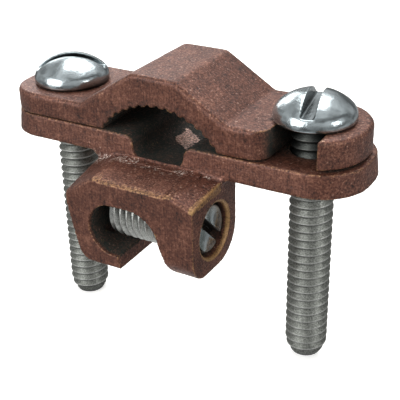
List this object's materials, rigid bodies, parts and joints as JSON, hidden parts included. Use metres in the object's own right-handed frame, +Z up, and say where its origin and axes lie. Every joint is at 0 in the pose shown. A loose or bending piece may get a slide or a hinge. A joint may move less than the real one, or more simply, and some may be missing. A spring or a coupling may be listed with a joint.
{
  "type": "earth rod clamp",
  "caption": "Cast bronze earth rod clamp with a serrated arch jaw, a lay-in wire lug and slotted zinc-plated screws",
  "frame": {"origin": "centre of the rod seat, on the plane where the two jaws part", "axes": "+X along the jaws towards the slotted end, +Y along the rod, away from the lay-in lug, +Z up towards the screw heads"},
  "size_m": [0.0572, 0.0247, 0.0441],
  "materials": {
    "cast_bronze": "sand-cast bronze, red-brown, linished on the front faces, edges worn bright",
    "zinc_plated_steel": "bright zinc plate, glossy on the heads, duller on the threads"
  },
  "bodies": {
    "lower_jaw": {"lower_jaw": "cast_bronze"},
    "left_clamp_screw": {"left_clamp_screw": "zinc_plated_steel"},
    "upper_jaw": {"upper_jaw": "cast_bronze"},
    "right_clamp_screw": {"right_clamp_screw": "zinc_plated_steel"},
    "wire_set_screw": {"wire_set_screw": "zinc_plated_steel"}
  },
  "joints": [
    {"name": "left_screw_travel", "type": "slide", "parent": "lower_jaw", "child": "left_clamp_screw", "axis": [0, 0, 1], "range_m": [0, 0.029]},
    {"name": "upper_jaw_swing", "type": "hinge", "parent": "left_clamp_screw", "child": "upper_jaw", "pos_m": [-0.0204, 0, 0], "axis": [0, 0, 1], "range_deg": [0, 100]},
    {"name": "right_screw_travel", "type": "slide", "parent": "lower_jaw", "child": "right_clamp_screw", "axis": [0, 0, 1], "range_m": [0, 0.029]},
    {"name": "set_screw_travel", "type": "slide", "parent": "lower_jaw", "child": "wire_set_screw", "axis": [1, 0, 0], "range_m": [-0.0014, 0.0099]}
  ],
  "couplings": [
    {"joint": "right_screw_travel", "follows": "left_screw_travel", "ratio": 1}
  ]
}
